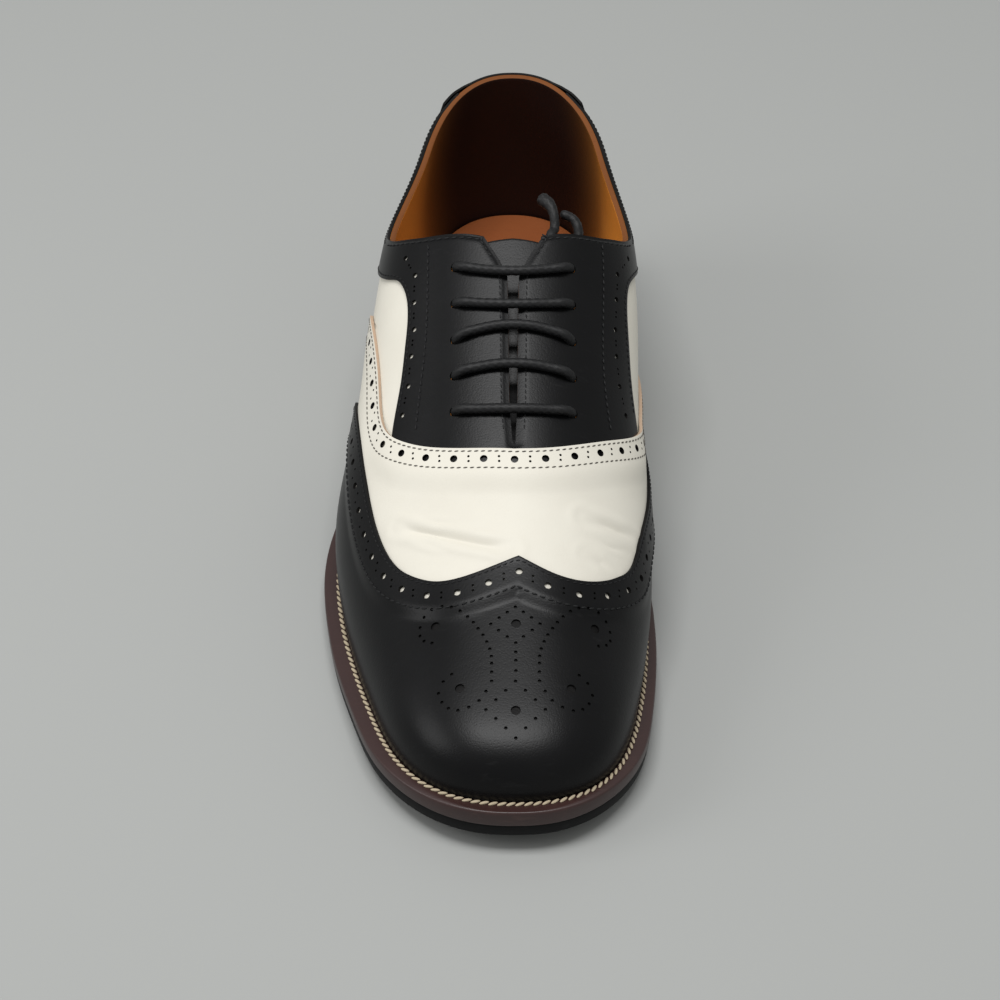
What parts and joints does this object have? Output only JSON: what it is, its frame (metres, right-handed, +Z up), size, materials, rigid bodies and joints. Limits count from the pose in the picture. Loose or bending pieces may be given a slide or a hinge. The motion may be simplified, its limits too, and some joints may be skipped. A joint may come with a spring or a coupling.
{
  "type": "spectator shoe",
  "caption": "Right laced dress shoe in black and white leather, with a winged toe cap, punched bands, a hollow upper, a welted sole and a stacked heel.",
  "frame": {"origin": "on the floor, under the middle of the shoe's box", "axes": "+Z up, +Y from the toe to the heel, +X towards the inner side of the foot"},
  "size_m": [0.11, 0.3005, 0.1051],
  "materials": {
    "black_leather": "smooth black calf leather with a soft gloss",
    "white_leather": "smooth white calf leather, slightly warm, low gloss",
    "tan_lining": "matt tan leather lining and insole",
    "brown_welt": "dark brown polished sole edge",
    "black_sole": "matt black sole and heel",
    "waxed_cord": "round waxed black cord lace"
  },
  "bodies": {
    "root": {"top_lift": "black_sole", "heel_block": "black_sole", "outsole": "black_sole", "welt": "brown_welt", "insole": "tan_lining", "upper": "white_leather", "tongue": "black_leather", "counter": "black_leather", "facing_lateral": "black_leather", "facing_medial": "black_leather", "vamp": "white_leather", "wing_cap": "black_leather", "lace_bar_1": "waxed_cord", "lace_bar_2": "waxed_cord", "lace_bar_3": "waxed_cord", "lace_bar_4": "waxed_cord", "lace_bar_5": "waxed_cord", "lace_end_1": "waxed_cord", "lace_end_2": "waxed_cord"}
  },
  "joints": []
}
